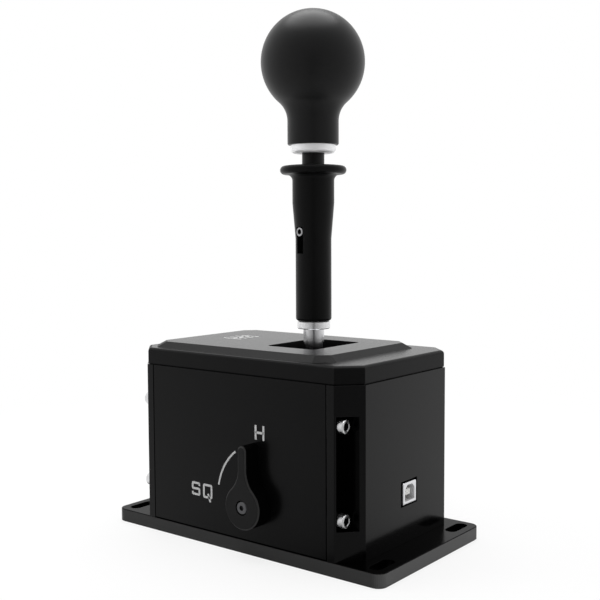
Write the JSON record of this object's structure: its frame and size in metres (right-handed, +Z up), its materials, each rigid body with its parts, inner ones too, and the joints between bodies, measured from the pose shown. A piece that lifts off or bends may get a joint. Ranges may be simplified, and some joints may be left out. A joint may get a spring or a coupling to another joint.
{
  "type": "sim racing gear shifter",
  "caption": "Desk-mounted gear shifter for a driving rig: ball-knob lever in a gated gimbal, lift-up reverse lock and a side lever that changes to sequential mode.",
  "frame": {"origin": "middle of the base plate's underside", "axes": "+X to the right across the housing, -Y to the end wall with the data port, +Z up"},
  "size_m": [0.1033, 0.176, 0.2745],
  "materials": {
    "black_anodised": "satin black anodising",
    "cover_black": "semi-gloss black anodising",
    "plate_black": "satin black coating",
    "bright_screw": "bright zinc plated",
    "dark_screw": "black oxide",
    "polished_steel": "polished",
    "bearing_steel": "ground and polished",
    "machined_alloy": "fine machined",
    "sheet_steel": "zinc plated sheet",
    "bronze": "sintered",
    "spring_steel": "bright wire",
    "knob_black": "fine matte",
    "sleeve_black": "satin black anodising",
    "tube_black": "smooth sliding plastic",
    "neck_chrome": "polished chrome",
    "mode_black": "satin black anodising",
    "mode_screw": "brushed",
    "board_green": "solder mask",
    "chip_black": "moulded",
    "port_metal": "nickel plated",
    "port_plastic": "moulded",
    "magnet": "nickel plated"
  },
  "bodies": {
    "housing": {"base_plate": "plate_black", "front_wall": "black_anodised", "rear_wall": "black_anodised", "left_panel": "black_anodised", "right_panel": "black_anodised", "top_cover": "cover_black", "corner_screws": "bright_screw", "base_screws": "dark_screw", "cover_screws": "dark_screw", "bearing_outer_rings": "bearing_steel", "bearing_balls": "bearing_steel", "gate_plate": "sheet_steel", "gate_spacers": "bronze", "gate_screws": "dark_screw", "reverse_fence": "sheet_steel", "main_board": "board_green", "board_standoffs": "bronze", "board_screws": "bright_screw", "board_chips": "chip_black", "port_shell": "port_metal", "port_tongue": "port_plastic", "detent_block": "machined_alloy", "detent_plunger": "dark_screw", "detent_spring": "spring_steel", "detent_ball": "bearing_steel", "fork_guides": "dark_screw", "mode_bush": "bronze", "mode_switch": "chip_black", "fore_sensor_board": "board_green"},
    "gimbal": {"gimbal_frame": "machined_alloy", "bearing_inner_rings": "bearing_steel", "hinge_pins": "polished_steel", "detent_sector": "sheet_steel", "sector_screws": "dark_screw", "fore_magnet": "magnet", "side_sensor_board": "board_green", "side_sensor_chip": "chip_black", "centring_springs": "spring_steel"},
    "lever": {"hub": "machined_alloy", "hinge_bushes": "bronze", "spring_bar": "machined_alloy", "gate_finger": "polished_steel", "lever_shaft": "polished_steel", "foot_ring": "polished_steel", "guide_tube": "tube_black", "guide_screw": "bright_screw", "neck_ring": "neck_chrome", "knob": "knob_black", "knob_insert": "machined_alloy", "side_magnet": "magnet", "lock_spring": "spring_steel"},
    "lockout": {"lift_sleeve": "sleeve_black", "lock_cross_pin": "dark_screw", "lock_rod": "polished_steel"},
    "mode": {"mode_lever": "mode_black", "mode_screw": "mode_screw", "mode_shaft": "polished_steel", "mode_crank": "machined_alloy"},
    "fork": {"mode_fork": "sheet_steel"}
  },
  "joints": [
    {"name": "fore_tilt", "type": "hinge", "parent": "housing", "child": "gimbal", "pos_m": [0, -0.0147, 0.066], "axis": [1, 0, 0], "range_deg": [-12, 12]},
    {"name": "side_tilt", "type": "hinge", "parent": "gimbal", "child": "lever", "pos_m": [0, -0.0147, 0.066], "axis": [0, 1, 0], "range_deg": [-16, 16], "stiffness_Nm_per_rad": 3, "deforming": ["centring_springs"]},
    {"name": "sleeve_lift", "type": "slide", "parent": "lever", "child": "lockout", "axis": [0, 0, 1], "range_m": [0, 0.006], "stiffness_N_per_m": 500, "springref_m": -0.004, "deforming": ["lock_spring"]},
    {"name": "mode_turn", "type": "hinge", "parent": "housing", "child": "mode", "pos_m": [-0.047, -0.013, 0.0265], "axis": [-1, 0, 0], "range_deg": [0, 90]},
    {"name": "fork_slide", "type": "slide", "parent": "housing", "child": "fork", "axis": [0, -1, 0], "range_m": [0, 0.015]}
  ],
  "couplings": [
    {"joint": "mode_turn", "follows": "fork_slide", "rad_per_m": 104.7}
  ]
}
